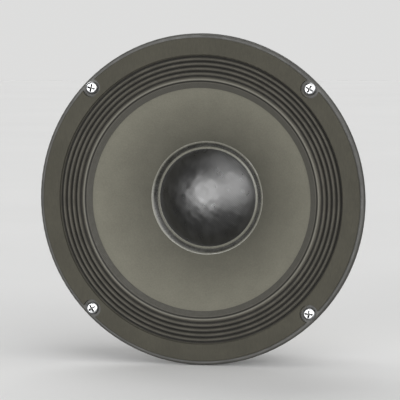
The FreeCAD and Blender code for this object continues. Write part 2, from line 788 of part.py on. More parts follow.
def main():
    os.makedirs("parts", exist_ok=True)
    save("basket", basket())
    save("front_gasket", front_gasket())
    save("mounting_screws", Part.makeCompound(at_bolt_angles(mounting_screw())))
    save("surround", surround())
    save("cone", cone())
    save("dust_cap", dust_cap())
    save("dust_cap_glue", dust_cap_glue())
    save("cone_neck_glue", cone_neck_glue())
    save("lead_eyelets", lead_eyelets())
    save("spider", spider())
    save("voice_coil_former", ring(COIL_BORE_R, FORMER_R, FORMER_Y[0], FORMER_Y[1]))
    save("voice_coil_winding", ring(FORMER_R, FORMER_R + WINDING_T, WINDING_Y[0], WINDING_Y[1]))
    save("top_plate", top_plate())
    save("magnet", ring(MAGNET_BORE_R, MAGNET_R, MAGNET_Y, BACK_PLATE_Y, 1.2))
    save("back_plate", back_plate())
    save("pole_piece", pole_piece())
    save("vent_screen", vent_screen())
    save("motor_screws", Part.makeCompound(motor_screw_places(motor_screw())))
    save("terminal_board", terminal_board())
    save("terminal_board_screws", board_screws())
    for name, shape in (
        ("terminal_housing", terminal_housing()),
        ("terminal_button", terminal_button()),
        ("terminal_spring", terminal_spring()),
        ("terminal_contact", terminal_contact()),
        ("lead", lead()),
    ):
        save("positive_" + name, shape)
        save("negative_" + name, mirrored(shape))


main()
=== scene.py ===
import math
import random

import bmesh
import bpy
import numpy as np
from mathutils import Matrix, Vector


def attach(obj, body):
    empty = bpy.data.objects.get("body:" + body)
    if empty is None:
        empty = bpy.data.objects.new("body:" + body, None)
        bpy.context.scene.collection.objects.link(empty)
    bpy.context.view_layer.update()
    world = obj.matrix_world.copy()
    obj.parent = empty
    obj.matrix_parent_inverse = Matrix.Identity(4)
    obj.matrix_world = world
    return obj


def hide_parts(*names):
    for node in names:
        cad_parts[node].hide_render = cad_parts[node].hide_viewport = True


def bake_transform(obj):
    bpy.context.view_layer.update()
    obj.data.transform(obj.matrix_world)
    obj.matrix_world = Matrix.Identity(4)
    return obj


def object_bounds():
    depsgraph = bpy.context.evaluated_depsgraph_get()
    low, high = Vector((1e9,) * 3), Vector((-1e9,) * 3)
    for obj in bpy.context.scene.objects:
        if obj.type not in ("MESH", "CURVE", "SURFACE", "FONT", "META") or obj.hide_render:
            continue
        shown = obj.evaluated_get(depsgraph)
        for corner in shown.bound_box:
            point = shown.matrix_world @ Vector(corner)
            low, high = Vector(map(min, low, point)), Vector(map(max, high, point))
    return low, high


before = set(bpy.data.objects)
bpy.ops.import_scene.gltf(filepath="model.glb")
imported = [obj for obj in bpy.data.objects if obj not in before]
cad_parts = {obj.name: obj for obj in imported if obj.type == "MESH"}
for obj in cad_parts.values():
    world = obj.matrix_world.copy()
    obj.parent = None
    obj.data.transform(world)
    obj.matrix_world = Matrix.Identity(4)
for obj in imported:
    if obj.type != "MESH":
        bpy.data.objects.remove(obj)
cad_low, cad_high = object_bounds()

# Dimensions in millimetres, as in the CAD. Y is depth, and the driver faces -Y.
MM = 0.001
FACE_Y = -4.0
BOLT_R = 99.0
BOLT_ANGLES = (45, 135, 225, 315)
CONE_CENTRE = (101.12, 97.90)
CONE_ARC_R = 104.77
CONE_NECK_R = 25.75
CONE_EDGE_R = 74.0
CONE_T = 0.8
CLOTH_T = 0.45
LAP_R = (70.3, 73.6)
LAND_R = 75.7
FIRST_TROUGH_R = 77.7
ROLL_STEP = 1.53
SURROUND_RIM_R = (91.9, 94.6)
CAP_R = 32.5
CAP_SPHERE_R = 47.1
CAP_HEIGHT = 13.0
CAP_T = 0.7
GLUE_R = (31.2, 36.4)
GLUE_HEIGHT = 0.9
EYELET_R = 29.9
EYELET_ANGLE = 16.0
LEAD_ROUTE = [
    (10.5, 31.5, 73.5),
    (10.5, 23.5, 73.5),
    (10.4, 16.3, 68.4),
    (10.3, 14.6, 59.8),
    (10.2, 19.0, 51.6),
    (10.1, 25.2, 44.6),
]
SCREW_SIDES = 96
SPRING_X = 10.5
SPRING_Z = 77.8
SPRING_Y = (44.75, 50.75)

# The camera looks at the driver from a little to the right of its axis and a little above it.
AZIMUTH = 13.0
ELEVATION = 4.0
DISTANCE = 1.5
LENS = 215.0
SENSOR = 36.0

# Studio. Each light: name, azimuth (0 in front, 90 to the right), elevation, spread in degrees,
# strength.
LIGHTS = [
    ("left_softbox", -12.0, 4.0, 36.0, 1.8),
    ("right_softbox", 32.0, 10.0, 50.0, 1.2),
    ("top_light", 62.0, 48.0, 90.0, 1.5),
    ("rear_light", 205.0, 35.0, 60.0, 1.6),
]
AMBIENT = 0.12
FLOOR_COLOUR = (0.8, 0.8, 0.795)
STAGE_R = 9500.0


# Mesh helpers

def link_mesh(name, points, faces):
    """A new object from points in millimetres."""
    mesh = bpy.data.meshes.new(name)
    mesh.from_pydata((np.asarray(points) * MM).tolist(), [], faces)
    obj = bpy.data.objects.new(name, mesh)
    bpy.context.scene.collection.objects.link(obj)
    return obj


def clean(obj, sharp_angle=40.0):
    """Join points that meet, drop what collapsed, turn the faces outwards and shade smooth."""
    bm = bmesh.new()
    bm.from_mesh(obj.data)
    bmesh.ops.remove_doubles(bm, verts=bm.verts, dist=1e-7)
    loose = [edge for edge in bm.edges if not edge.link_faces]
    bmesh.ops.delete(bm, geom=loose, context="EDGES")
    bmesh.ops.recalc_face_normals(bm, faces=bm.faces)
    bm.to_mesh(obj.data)
    bm.free()
    obj.data.shade_smooth()
    obj.data.set_sharp_from_angle(angle=math.radians(sharp_angle))
    return obj


def grid_faces(rows, columns, wrap_rows):
    """Quads over a grid of points whose columns close into a ring."""
    faces = []
    for row in range(rows if wrap_rows else rows - 1):
        below = row * columns
        above = (row + 1) % rows * columns
        for column in range(columns):
            beside = (column + 1) % columns
            faces.append((below + column, below + beside, above + beside, above + column))
    return faces


def ring_points(profile, columns, warp=None):
    """The profile's (radius, depth) points turned about Y. warp moves them, given whole arrays."""
    loop = np.array(profile, float)
    turn = np.linspace(0, 2 * np.pi, columns, endpoint=False)[None, :]
    radius = loop[:, :1] + 0 * turn
    depth = loop[:, 1:] + 0 * turn
    turn = turn + 0 * radius
    if warp:
        radius, depth = warp(radius, depth, turn)
    return np.stack([radius * np.cos(turn), depth, radius * np.sin(turn)], axis=-1)


def lathe(name, profile, columns, warp=None):
    """A closed solid turned about Y. The profile is a loop, or starts and ends on the axis."""
    points = ring_points(profile, columns, warp)
    is_loop = profile[0][0] > 0 or profile[-1][0] > 0
    faces = grid_faces(len(profile), columns, is_loop)
    return clean(link_mesh(name, points.reshape(-1, 3), faces))


def wave(anchors, step):
    """A smooth line through (radius, depth) points whose every point is a crest, a trough or a flat."""
    line = [anchors[0]]
    for (r0, y0), (r1, y1) in zip(anchors, anchors[1:]):
        count = max(1, round((r1 - r0) / step))
        for i in range(1, count + 1):
            share = i / count
            ease = (1 - math.cos(math.pi * share)) / 2
            line.append((r0 + (r1 - r0) * share, y0 + (y1 - y0) * ease))
    return line


def thicken(line, thickness):
    """A closed loop: the line, and the same line moved square to itself towards the rear."""
    points = np.array(line, float)
    along = np.gradient(points, axis=0)
    along /= np.linalg.norm(along, axis=1)[:, None]
    rear = points + thickness * np.stack([-along[:, 1], along[:, 0]], axis=1)
    return [tuple(p) for p in points] + [tuple(p) for p in rear[::-1]]


def tube(centres, radius, sides):
    """Points and faces of a round tube along a path, with flat ends."""
    path = np.array(centres, float)
    along = np.gradient(path, axis=0)
    along /= np.linalg.norm(along, axis=1)[:, None]
    across = np.cross(along[0], (0.3, 0.5, 0.81))
    rings = []
    for centre, direction in zip(path, along):
        across = across - direction * (across @ direction)
        across /= np.linalg.norm(across)
        other = np.cross(direction, across)
        for i in range(sides):
            turn = 2 * math.pi * i / sides
            rings.append(centre + radius * (math.cos(turn) * across + math.sin(turn) * other))
    faces = grid_faces(len(path), sides, False)
    faces.append(tuple(range(sides))[::-1])
    faces.append(tuple(range(len(rings) - sides, len(rings))))
    return rings, faces


def ball(centre, radii, seed):
    """Points and faces of a slightly uneven blob."""
    rows = 14
    columns = 20
    draw = random.Random(seed)
    lumps = [(draw.uniform(0, 6.3), draw.uniform(0, 6.3)) for _ in range(3)]
    points = []
    for row in range(rows + 1):
        polar = math.pi * row / rows
        for column in range(columns):
            turn = 2 * math.pi * column / columns
            swell = 1 + 0.05 * sum(math.sin((i + 2) * turn + a) * math.sin((i + 2) * polar + b)
                                   for i, (a, b) in enumerate(lumps))
            points.append((
                centre[0] + swell * radii[0] * math.sin(polar) * math.cos(turn),
                centre[1] + swell * radii[1] * math.cos(polar),
                centre[2] + swell * radii[2] * math.sin(polar) * math.sin(turn),
            ))
    return points, grid_faces(rows + 1, columns, False)


def merged(name, parts):
    """One object from several (points, faces, material number) parts. Nothing is welded."""
    points = []
    faces = []
    numbers = []
    for part_points, part_faces, number in parts:
        first = len(points)
        points.extend(part_points)
        faces.extend(tuple(first + i for i in face) for face in part_faces)
        numbers.extend([number] * len(part_faces))
    obj = link_mesh(name, points, faces)
    obj.data.polygons.foreach_set("material_index", numbers)
    obj.data.shade_smooth()
    obj.data.set_sharp_from_angle(angle=math.radians(40.0))
    return obj


def uneven(turn, size, seed):
    """A smooth uneven wave round the circle, the same each run."""
    draw = random.Random(seed)
    total = 0
    for waves in (2, 3, 5, 8, 13, 21):
        total = total + np.sin(waves * turn + draw.uniform(0, 6.3)) / math.sqrt(waves)
    return size * total / 2


def dimples(x, z, wavelength, seed):
    """Soft lumps over a surface, about one high, from waves in random directions."""
    count = 14
    draw = random.Random(seed)
    total = 0
    for _ in range(count):
        heading = draw.uniform(0, 2 * math.pi)
        rate = 2 * math.pi / (wavelength * draw.uniform(0.7, 1.5))
        start = draw.uniform(0, 6.3)
        total = total + np.sin(rate * (x * math.cos(heading) + z * math.sin(heading)) + start)
    return total / math.sqrt(count)


# Surfaces that several pieces share

def cone_y(radius, offset=0.0):
    """Depth of the cone's front surface, or of the surface parallel to it at an offset to the front."""
    reach = CONE_ARC_R + offset
    return CONE_CENTRE[1] - np.sqrt(reach ** 2 - (CONE_CENTRE[0] - radius) ** 2)


CAP_RIM_Y = float(cone_y(CAP_R))
CAP_CENTRE_Y = CAP_RIM_Y - CAP_HEIGHT + CAP_SPHERE_R


def cap_y(radius, taken=0.0):
    """Depth of the dust cap's front surface, or of a sphere inside it whose radius is less by taken."""
    return CAP_CENTRE_Y - np.sqrt((CAP_SPHERE_R - taken) ** 2 - radius ** 2)


# Pieces

def make_surround():
    """The lap glued on the cone, a narrow land, the rolls, and the flat rim under the gasket."""
    flat_y = -4.5
    trough_y = -3.0
    crest_y = -5.4
    troughs_and_crests = 9
    lap = [(r, float(cone_y(r, offset=0.4))) for r in np.linspace(*LAP_R, 10)]
    anchors = [lap[-1], (LAND_R, flat_y)]
    for i in range(troughs_and_crests):
        anchors.append((FIRST_TROUGH_R + ROLL_STEP * i, crest_y if i % 2 else trough_y))
    anchors += [(r, flat_y) for r in SURROUND_RIM_R]
    line = lap[:-1] + wave(anchors, step=0.17)
    return lathe("surround_cloth", thicken(line, CLOTH_T), columns=360)


def make_spider():
    """The collar glued on the former, the rolls, and the flat rim glued on the basket's shelf."""
    rear_y = 34.7
    front_y = 31.5
    first_rear_r = 31.5
    roll_step = 3.0
    rear_and_front_crests = 8
    anchors = [(27.0, 33.1), (28.5, 33.1)]
    for i in range(rear_and_front_crests):
        anchors.append((first_rear_r + roll_step * i, front_y if i % 2 else rear_y))
    anchors += [(54.9, 32.9), (61.5, 32.9)]
    line = thicken(wave(anchors, step=0.25), CLOTH_T)
    collar = [(25.72, 33.5), (25.72, 31.6), (26.2, 31.6), (26.2, 32.7), (26.5, 33.0)]
    return lathe("spider_cloth", collar + line, columns=256)


def make_cone():
    """A shallow curved cone, whose outer half has the faint lumps of felted pulp."""
    radii = np.linspace(CONE_NECK_R + 0.05, CONE_EDGE_R, 90)
    front = [(r, float(cone_y(r))) for r in radii]

    def felted(radius, depth, turn):
        x = radius * np.cos(turn)
        z = radius * np.sin(turn)
        fade = np.clip((radius - 40) / 30, 0, 1)
        return radius, depth + 0.012 * dimples(x, z, wavelength=9.0, seed=5) * fade

    return lathe("cone_paper", thicken(front, CONE_T), columns=320, warp=felted)


def make_dust_cap():
    """A pressed dome, slightly uneven except near its rim."""
    front = [(r, float(cap_y(r))) for r in np.linspace(0, CAP_R - 0.05, 70)]
    rim = [(CAP_R, CAP_RIM_Y + 0.15), (CAP_R - 0.3, CAP_RIM_Y + 0.5)]
    inside = [(r, float(cap_y(r, CAP_T))) for r in np.linspace(CAP_R - 1.2, 0, 40)]

    def pressed(radius, depth, turn):
        x = radius * np.cos(turn)
        z = radius * np.sin(turn)
        fade = np.clip((CAP_R - radius) / 4, 0, 1)
        large = dimples(x, z, wavelength=9.0, seed=11)
        small = dimples(x, z, wavelength=5.2, seed=12)
        return radius, depth + (0.05 * large + 0.035 * small) * fade

    return lathe("dust_cap_cloth", front + rim + inside, columns=256, warp=pressed)


def make_cap_glue():
    """A bead laid by hand: its outer edge wanders."""
    inner_r, outer_r = GLUE_R
    steady_r = 33.0
    top = []
    for share in np.linspace(0, 1, 26):
        radius = inner_r + (outer_r - inner_r) * share
        ground = float(cone_y(radius))
        if radius <= CAP_R:
            ground = min(ground, float(cap_y(radius)))
        top.append((radius, ground - GLUE_HEIGHT * math.sin(math.pi * share) ** 0.55))
    radii = np.linspace(outer_r - 0.3, inner_r + 1.4, 6)
    bottom = [(r, float(cone_y(r, offset=-0.3))) for r in radii]

    def hand_laid(radius, depth, turn):
        share = np.clip((radius - steady_r) / (outer_r - steady_r), 0, 1)
        moved = radius + share * (uneven(turn, size=0.16, seed=21) - 0.12)
        inward = CONE_CENTRE[0] - moved
        slope = inward / np.sqrt(CONE_ARC_R ** 2 - inward ** 2)
        sunk = share * uneven(turn, size=0.05, seed=22)
        return moved, depth - (moved - radius) * slope + sunk

    return lathe("dust_cap_glue_bead", top + bottom, columns=384, warp=hand_laid)


def recess_depth(radius, turn):
    """How deep the cross recess lies below a screw head's surface."""
    arm_length = 2.45
    arm_half_width = 0.56
    deepest = 2.0
    u = radius * np.cos(turn)
    v = radius * np.sin(turn)
    depth = 0
    for a, b in ((u, v), (v, u)):
        arm = np.minimum((arm_length - abs(a)) * 1.7, (arm_half_width - abs(b)) * 9.0)
        depth = np.maximum(depth, np.clip(arm, 0, deepest))
    return depth


def screw_mesh(turned_by):
    """A pan-head screw along Y: the head with its cross recess, a smooth neck, then the thread.

    Returns its points, and its faces outside and inside the recess."""
    head_y = -6.9
    head_r = 4.0
    flat_r = 2.3
    head_crown = 0.18
    head_edge = 1.75
    neck_r = 1.9
    thread_r = 2.2
    core_r = 1.6
    tip_y = 22.0
    pitch = 1.9
    profile = [(r, 0.0) for r in np.linspace(0, 2.9, 44)]
    profile += [(r, 0.0) for r in np.linspace(3.0, head_r, 16)]
    top_rows = len(profile)
    profile += [(head_r, y) for y in (-4.75, -4.5, -4.3)]
    profile += [(head_r - 0.1, -4.1), (head_r - 0.3, FACE_Y), (neck_r, FACE_Y), (neck_r, -0.3)]
    shank_row = len(profile)
    profile += [(thread_r, y) for y in np.linspace(0.0, tip_y - 0.05, 150)]
    profile += [(0.0, tip_y)]

    def shaped(radius, depth, turn):
        radius = radius.copy()
        depth = depth.copy()
        r = radius[:top_rows]
        crown = np.minimum(r / flat_r, 1) ** 2
        edge = np.clip((r - flat_r) / (head_r - flat_r), 0, 1)
        surface = head_y + head_crown * crown + head_edge * (1 - np.sqrt(1 - edge ** 2))
        depth[:top_rows] = surface + recess_depth(r, turn[:top_rows] + turned_by)
        y = depth[shank_row:-1]
        phase = (y / pitch - turn[shank_row:-1] / (2 * np.pi)) % 1.0
        crest = np.clip(1 - abs(phase - 0.5) * 3.2, 0, 1) ** 0.8
        crest = crest * np.clip(y / 1.5, 0, 1)
        taper = np.clip((tip_y - y) / 5.0, 0, 1) ** 0.75
        radius[shank_row:-1] = (core_r + (thread_r - core_r) * crest) * np.maximum(taper, 0.04)
        return radius, depth

    points = ring_points(profile, SCREW_SIDES, shaped).reshape(-1, 3)
    turn = np.arctan2(points[:, 2], points[:, 0]) + turned_by
    sunk = recess_depth(np.hypot(points[:, 0], points[:, 2]), turn) > 0.2
    sunk[top_rows * SCREW_SIDES:] = False
    outside = []
    inside = []
    for face in grid_faces(len(profile), SCREW_SIDES, False):
        (inside if all(sunk[i] for i in face) else outside).append(face)
    return points, outside, inside


def make_screws():
    """The four screws, each turned as it happened to stop."""
    draw = random.Random(7)
    parts = []
    for angle in BOLT_ANGLES:
        points, outside, inside = screw_mesh(draw.uniform(0, 1.57))
        place = math.radians(angle)
        shift = np.array([BOLT_R * math.cos(place), 0, BOLT_R * math.sin(place)])
        parts.append((points + shift, outside, 0))
        # The faces inside the cross recess take the second material, painted shade.
        parts.append((points + shift, inside, 1))
    return clean(merged("mounting_screws_threaded", parts), sharp_angle=32.0)


def lead_path(side):
    """The lead's line, evenly spaced, read from a NURBS curve over the CAD route's points.

    The last two points lie square behind the cone, at the eyelet."""
    square_r = (CONE_CENTRE[0] - EYELET_R) / CONE_ARC_R
    square_y = math.sqrt(1 - square_r ** 2)
    place = math.radians(90 - EYELET_ANGLE)
    route = list(LEAD_ROUTE)
    for behind in (7.8, 1.3):
        radius = EYELET_R + behind * square_r
        depth = float(cone_y(EYELET_R)) + behind * square_y
        route.append((radius * math.cos(place), depth, radius * math.sin(place)))
    curve = bpy.data.curves.new("lead_line", "CURVE")
    curve.dimensions = "3D"
    spline = curve.splines.new("NURBS")
    spline.points.add(len(route) - 1)
    for point, (x, y, z) in zip(spline.points, route, strict=True):
        point.co = (side * x, y, z, 1.0)
    spline.order_u = 3
    spline.use_endpoint_u = True
    spline.resolution_u = 24
    holder = bpy.data.objects.new("lead_line", curve)
    mesh = bpy.data.meshes.new_from_object(holder)
    line = np.array([v.co for v in mesh.vertices], float)
    bpy.data.objects.remove(holder)
    bpy.data.meshes.remove(mesh)
    run = np.concatenate([[0], np.cumsum(np.linalg.norm(np.diff(line, axis=0), axis=1))])
    even = np.linspace(0, run[-1], 190)
    return np.stack([np.interp(even, run, line[:, i]) for i in range(3)], axis=1)


def make_lead(name, side):
    """A braid of two sets of strands over a core, with solder at both ends.

    Returns the object, and for each of its points how far along the lead that is, 0 to 1."""
    core_r = 0.42
    core_sides = 8
    braid_r = 0.47
    strand_r = 0.13
    strand_sides = 5
    strands = 6
    lay = 5.5
    path = lead_path(side)
    along = np.gradient(path, axis=0)
    along /= np.linalg.norm(along, axis=1)[:, None]
    across = np.cross(along[0], (0.0, 0.0, 1.0) if abs(along[0][2]) < 0.9 else (1.0, 0.0, 0.0))
    frames = []
    for direction in along:
        across = across - direction * (across @ direction)
        across /= np.linalg.norm(across)
        frames.append((across, np.cross(direction, across)))
    run = np.linspace(0, 1, len(path))
    length = float(np.linalg.norm(np.diff(path, axis=0), axis=1).sum())
    parts = [(*tube(path, core_r, core_sides), 0)]
    shares = [np.repeat(run, core_sides)]
    for way in (1, -1):
        for strand in range(strands):
            centres = []
            for centre, share, (a, b) in zip(path, run, frames):
                twist = way * 2 * math.pi * share * length / lay
                turn = twist + 2 * math.pi * strand / strands
                reach = braid_r + 0.05 * way * math.cos(strands * twist)
                centres.append(centre + reach * (math.cos(turn) * a + math.sin(turn) * b))
            parts.append((*tube(centres, strand_r, strand_sides), 0))
            shares.append(np.repeat(run, strand_sides))
    for end, outwards, radii, seed, share in ((path[0], -along[0], (1.25, 1.5, 0.95), 31, 0.0),
                                              (path[-1], along[-1], (1.2, 1.0, 1.2), 32, 1.0)):
        points, faces = ball(end - outwards * 0.2, radii, seed)
        parts.append((points, faces, 1))
        shares.append(np.full(len(points), share))
    return merged(name, parts), np.concatenate(shares)


def make_spring(name, side):
    """About four working turns, and at each end a closed turn that climbs by half the wire."""
    coil_r = 2.3
    wire_r = 0.25
    turns = 5.5
    closed = 0.8
    front, rear = SPRING_Y
    centres = []
    for done in np.linspace(0, turns, 301):
        ends = min(done, closed) + max(0.0, done - (turns - closed))
        climb = min(1.0, max(0.0, (done - closed) / (turns - 2 * closed)))
        depth = front + wire_r * ends / closed + (rear - front - 2 * wire_r) * climb
        turn = 2 * math.pi * done
        centres.append((side * SPRING_X + coil_r * math.cos(turn), depth,
                        SPRING_Z + coil_r * math.sin(turn)))
    return merged(name, [(*tube(centres, wire_r, sides=8), 0)])


# Materials

class Paint:
    """A material under construction. Its textures follow each piece's own points, in metres."""

    def __init__(self, name, colour, roughness, metallic=0.0, **extra):
        self.material = bpy.data.materials.new(name)
        self.material.use_nodes = True
        self.tree = self.material.node_tree
        self.shader = self.tree.nodes["Principled BSDF"]
        self.shader.inputs["Base Color"].default_value = (*colour, 1.0)
        self.shader.inputs["Roughness"].default_value = roughness
        self.shader.inputs["Metallic"].default_value = metallic
        for socket, value in extra.items():
            self.shader.inputs[socket.replace("_", " ")].default_value = value
        self.colour = colour
        self.place = self.tree.nodes.new("ShaderNodeTexCoord").outputs["Object"]
        self.normal = None

    def node(self, kind, settings=(), **inputs):
        """A new node. Its inputs are given by name, or by number as i0, i1 and so on."""
        made = self.tree.nodes.new("ShaderNode" + kind)
        for name, value in settings:
            setattr(made, name, value)
        for name, value in inputs.items():
            numbered = name[0] == "i" and name[1:].isdigit()
            socket = made.inputs[int(name[1:]) if numbered else name.replace("_", " ")]
            if isinstance(value, bpy.types.NodeSocket):
                self.tree.links.new(value, socket)
            else:
                socket.default_value = value
        return made

    def math(self, operation, a, b=0.0):
        """One step of arithmetic on numbers or sockets."""
        return self.node("Math", [("operation", operation)], i0=a, i1=b).outputs[0]

    def noise(self, size_mm, detail=3.0, stretch=None, rough=0.55):
        """Cloudy noise, 0 to 1, whose lumps are about size_mm across."""
        place = self.place
        if stretch:
            place = self.node("Mapping", Vector=place, Scale=stretch).outputs[0]
        made = self.node("TexNoise", Vector=place, Scale=1000.0 / size_mm, Detail=detail,
                         Roughness=rough)
        return made.outputs["Fac"]

    def vector(self, operation, **inputs):
        """One step of arithmetic on vectors."""
        return self.node("VectorMath", [("operation", operation)], **inputs).outputs

    def radius(self):
        """Distance from the driver's axis, in metres."""
        flat = self.vector("MULTIPLY", i0=self.place, i1=(1.0, 0.0, 1.0))[0]
        return self.vector("LENGTH", i0=flat)["Value"]

    def rings(self, size_mm):
        """Noise that changes with the distance from the driver's axis, as tool marks do."""
        depth = self.node("SeparateXYZ", Vector=self.place).outputs[1]
        line = self.node("CombineXYZ", X=self.radius(), Y=depth).outputs[0]
        made = self.node("TexNoise", Vector=line, Scale=1000.0 / size_mm, Detail=3.0)
        return made.outputs["Fac"]

    def weave(self, pitch_mm, wander_mm=0.15):
        """Threads crossing over and under each other, seen along the axis, -1 to 1."""
        drift = self.node("TexNoise", Vector=self.place, Scale=250.0, Detail=2.0)
        centred = self.vector("SUBTRACT", i0=drift.outputs["Color"], i1=(0.5, 0.5, 0.5))[0]
        scaled = self.vector("SCALE", i0=centred, Scale=wander_mm * 4 * MM)[0]
        moved = self.vector("ADD", i0=self.place, i1=scaled)[0]
        x, _, z = self.node("SeparateXYZ", Vector=moved).outputs
        rate = math.pi / (pitch_mm * MM)
        return self.math("MULTIPLY", self.math("SINE", self.math("MULTIPLY", x, rate)),
                         self.math("SINE", self.math("MULTIPLY", z, rate)))

    def mottle(self, value, dark, light, low=0.35, high=0.65):
        """The base colour times dark to light, as value goes from low to high."""
        ramp = self.node("ValToRGB", Fac=value)
        for stop, position, share in zip(ramp.color_ramp.elements, (low, high), (dark, light)):
            stop.position = position
            stop.color = (*[min(1.0, c * share) for c in self.colour], 1.0)
        return ramp.outputs["Color"]

    def blend(self, share, first, second):
        """The first colour where share is 0, and the second where it is 1."""
        first, second = [(*c, 1.0) if isinstance(c, tuple) else c for c in (first, second)]
        return self.node("Mix", [("data_type", "RGBA")], i0=share, i6=first, i7=second).outputs[2]

    def span(self, value, low, high, low_in=0.3, high_in=0.7):
        """Map a texture onto a range of numbers."""
        return self.node("MapRange", i0=value, i1=low_in, i2=high_in, i3=low, i4=high).outputs[0]

    def beyond(self, radius, first_mm, last_mm):
        """A mask that rises from 0 to 1 between two distances from the driver's axis."""
        return self.span(radius, 0.0, 1.0, first_mm * MM, last_mm * MM)

    def within(self, radius, first_mm, last_mm):
        """A mask that falls from 1 to 0 between two distances from the driver's axis."""
        return self.span(radius, 1.0, 0.0, first_mm * MM, last_mm * MM)

    def set(self, socket, value):
        """Drive one of the shader's sockets."""
        self.tree.links.new(value, self.shader.inputs[socket])

    def soften(self, radius_mm):
        """Round sharp edges in the shading, as coating and wear do."""
        self.normal = self.node("Bevel", [("samples", 4)], Radius=radius_mm * MM).outputs[0]
        return self

    def relief(self, height, depth_mm):
        """Bumps of the given depth, on top of what is there."""
        inputs = {"Height": height, "Distance": depth_mm * MM, "Strength": 1.0}
        if self.normal:
            inputs["Normal"] = self.normal
        self.normal = self.node("Bump", **inputs).outputs[0]
        return self

    def done(self):
        """The finished material."""
        if self.normal:
            self.set("Normal", self.normal)
        return self.material


def powder_coat():
    """Dark matt coating with a fine orange peel, as on a pressed basket."""
    paint = Paint("powder_coat", (0.055, 0.054, 0.049), 0.48).soften(0.5)
    paint.set("Base Color", paint.mottle(paint.noise(18.0, 4.0), 0.85, 1.2))
    paint.set("Roughness", paint.span(paint.noise(6.0), 0.4, 0.56))
    return paint.relief(paint.noise(1.1, 2.0), 0.05).relief(paint.noise(0.35, 2.0), 0.012).done()


def board():
    """Grey fibre board, with fibres that run more one way than the other."""
    paint = Paint("gasket_fibre_board", (0.0535, 0.0505, 0.0385), 0.85, Specular_IOR_Level=0.3)
    fibres = paint.noise(0.9, detail=6.0, stretch=(1.0, 1.0, 0.25), rough=0.7)
    paint.set("Base Color", paint.blend(0.5, paint.mottle(fibres, 0.75, 1.25),
                                        paint.mottle(paint.noise(22.0, 3.0), 0.88, 1.12)))
    paint.set("Roughness", paint.span(fibres, 0.78, 0.92))
    return paint.relief(fibres, 0.05).relief(paint.noise(0.3, 3.0), 0.02).done()


def zinc(name, colour, roughness):
    """Plated or oxidised small parts, slightly cloudy."""
    paint = Paint(name, colour, roughness, metallic=1.0).soften(0.12)
    paint.set("Base Color", paint.mottle(paint.noise(3.0, 4.0), 0.9, 1.08))
    paint.set("Roughness", paint.span(paint.noise(1.2, 4.0), roughness - 0.05, roughness + 0.09))
    return paint.relief(paint.noise(0.5, 3.0), 0.008).done()


def turned_steel(name, colour, roughness):
    """Dull plating over the fine rings that a lathe leaves, yellowed in patches."""
    paint = Paint(name, colour, roughness, metallic=0.7).soften(0.3)
    marks = paint.rings(0.5)
    tint = paint.blend(paint.span(paint.noise(30.0, 4.0), 0.0, 1.0), paint.mottle(marks, 0.9, 1.06),
                       tuple(c * s for c, s in zip(colour, (1.04, 0.97, 0.82))))
    paint.set("Base Color", tint)
    paint.set("Roughness", paint.span(paint.noise(9.0, 5.0), roughness - 0.06, roughness + 0.12))
    return paint.relief(marks, 0.012).relief(paint.noise(0.8, 3.0), 0.006).done()


def ferrite():
    """Dark grey ceramic with an open grain."""
    paint = Paint("ferrite", (0.04, 0.04, 0.043), 0.62).soften(0.6)
    grain = paint.noise(0.5, detail=5.0, rough=0.7)
    paint.set("Base Color", paint.blend(0.5, paint.mottle(grain, 0.7, 1.5),
                                        paint.mottle(paint.noise(25.0), 0.8, 1.25)))
    paint.set("Roughness", paint.span(grain, 0.5, 0.72))
    return paint.relief(grain, 0.035).relief(paint.noise(5.0, 3.0), 0.12).done()


def laminate():
    """Brown phenolic board: fine paper fibres under resin."""
    paint = Paint("board_laminate", (0.085, 0.045, 0.02), 0.32).soften(0.15)
    fibres = paint.noise(0.6, detail=5.0, stretch=(0.4, 1.0, 1.0), rough=0.65)
    paint.set("Base Color", paint.blend(0.5, paint.mottle(fibres, 0.75, 1.25),
                                        paint.mottle(paint.noise(7.0, 3.0), 0.85, 1.15)))
    paint.set("Roughness", paint.span(fibres, 0.28, 0.42))
    return paint.relief(fibres, 0.01).done()


def moulded(name, colour, roughness):
    """Moulded plastic with a fine texture."""
    paint = Paint(name, colour, roughness).soften(0.2)
    paint.set("Base Color", paint.mottle(paint.noise(4.0, 4.0), 0.86, 1.15))
    paint.set("Roughness", paint.span(paint.noise(1.0, 4.0), roughness - 0.06, roughness + 0.1))
    return paint.relief(paint.noise(0.25, 3.0), 0.012).relief(paint.noise(2.5), 0.02).done()


def paper():
    """Grey pulp, painted darker towards the neck: painted shade for the deep cone's shading there."""
    paint = Paint("cone_paper", (0.129, 0.1245, 0.099), 0.86, Specular_IOR_Level=0.3)
    pulp = paint.noise(0.9, detail=6.0, rough=0.68)
    clouds = paint.noise(14.0, 4.0)
    plain_pulp = paint.blend(0.5, paint.mottle(pulp, 0.82, 1.2), paint.mottle(clouds, 0.93, 1.08))
    # Painted shade: the pulp near the neck is painted darker, fading out by 66 mm from the axis.
    painted_neck_shade = paint.blend(0.5, paint.mottle(pulp, 0.42, 0.68), paint.mottle(clouds, 0.48, 0.6))
    unshaded_share = paint.beyond(paint.radius(), 28.0, 66.0)
    paint.set("Base Color", paint.blend(unshaded_share, painted_neck_shade, plain_pulp))
    paint.set("Roughness", paint.span(pulp, 0.76, 0.93))
    paint.relief(pulp, 0.035).relief(paint.noise(3.5, 3.0), 0.04).relief(paint.rings(1.6), 0.012)
    return paint.done()


